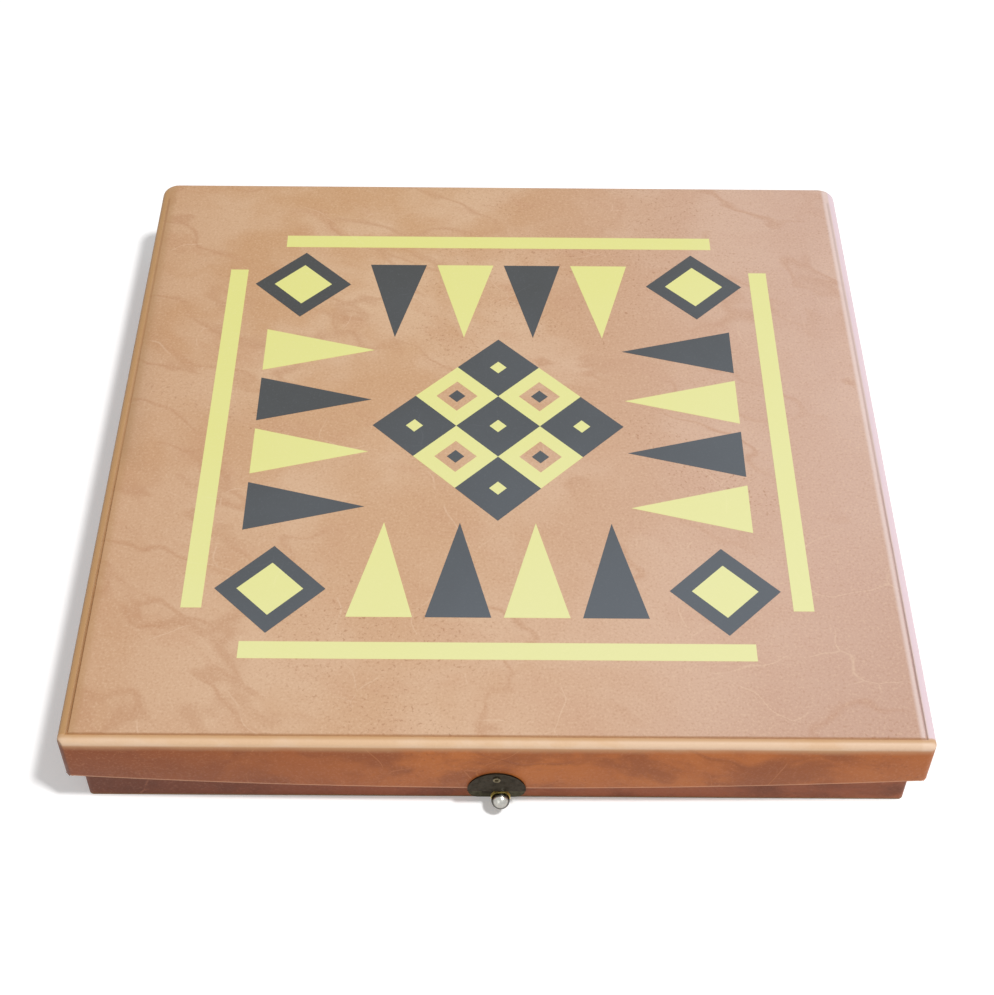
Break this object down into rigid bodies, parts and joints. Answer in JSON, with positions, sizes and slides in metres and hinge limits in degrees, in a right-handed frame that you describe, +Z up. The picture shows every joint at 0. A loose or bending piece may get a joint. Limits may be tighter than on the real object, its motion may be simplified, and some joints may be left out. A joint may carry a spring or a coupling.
{
  "type": "chess board",
  "caption": "Square leatherette game case with a hinged lid, a sliding ball catch and, inside, a chess board, trays, chessmen and draughts.",
  "frame": {"origin": "centre of the base's underside", "axes": "+Z up, from the underside to the lid's printed top; the catch is at -Y and the hinges at +Y; +X is to the right seen from the catch"},
  "size_m": [0.4, 0.4069, 0.0531],
  "materials": {
    "tan_leatherette": "grained vinyl, satin",
    "brown_leatherette": "grained vinyl, satin",
    "brown_paper_board": "matt",
    "green_felt": "felt",
    "fibreboard": "matt",
    "softwood": "sanded",
    "stained_beech": "stained, satin lacquer",
    "dark_veneer": "satin lacquer",
    "light_veneer": "satin lacquer",
    "yellow_ink": "satin ink",
    "grey_ink": "satin ink",
    "dark_brass": "tarnished",
    "bright_brass": "polished",
    "nickel_plate": "polished",
    "plated_steel": "satin",
    "ivory_plastic": "satin",
    "dark_plastic": "satin"
  },
  "bodies": {
    "base": {"base_front_rail": "softwood", "base_right_rail": "softwood", "base_back_rail": "softwood", "base_left_rail": "softwood", "base_floor_panel": "fibreboard", "base_bottom_sheet": "brown_paper_board", "base_cover": "brown_leatherette", "base_wall_lining": "green_felt", "base_floor_felt": "green_felt", "long_tray_dividers": "stained_beech", "short_tray_dividers": "stained_beech", "board_support_slats": "softwood", "playing_board": "stained_beech", "dark_squares": "dark_veneer", "light_squares": "light_veneer", "board_edging": "dark_veneer", "left_men_rack": "stained_beech", "right_men_rack": "stained_beech", "front_draughts_rack": "stained_beech", "back_draughts_rack": "stained_beech", "left_hinge_base_leaf": "plated_steel", "right_hinge_base_leaf": "plated_steel", "left_hinge_pin": "plated_steel", "right_hinge_pin": "plated_steel", "hinge_base_screws": "plated_steel", "catch_plate": "dark_brass", "catch_plate_rivets": "dark_brass", "light_draughts": "ivory_plastic", "dark_draughts": "dark_plastic", "light_rooks": "ivory_plastic", "light_knights": "ivory_plastic", "light_bishops": "ivory_plastic", "light_queen": "ivory_plastic", "light_king": "ivory_plastic", "light_pawns": "ivory_plastic", "dark_rooks": "dark_plastic", "dark_knights": "dark_plastic", "dark_bishops": "dark_plastic", "dark_queen": "dark_plastic", "dark_king": "dark_plastic", "dark_pawns": "dark_plastic"},
    "lid": {"lid_front_rail": "softwood", "lid_right_rail": "softwood", "lid_back_rail": "softwood", "lid_left_rail": "softwood", "lid_top_panel": "fibreboard", "lid_cover": "tan_leatherette", "lid_lining": "green_felt", "left_hinge_lid_leaf": "plated_steel", "right_hinge_lid_leaf": "plated_steel", "hinge_lid_rivets": "plated_steel", "catch_hasp": "dark_brass", "catch_hasp_rivet": "dark_brass", "print_yellow": "yellow_ink", "print_grey": "grey_ink"},
    "latch": {"latch_slider": "plated_steel", "latch_cup": "bright_brass", "latch_knob": "nickel_plate"}
  },
  "joints": [
    {"name": "lid_hinge", "type": "hinge", "parent": "base", "child": "lid", "pos_m": [0, 0.1967, 0.0217], "axis": [-1, 0, 0], "range_deg": [0, 118]},
    {"name": "latch_slide", "type": "slide", "parent": "base", "child": "latch", "axis": [-1, 0, 0], "range_m": [0, 0.0038]}
  ]
}
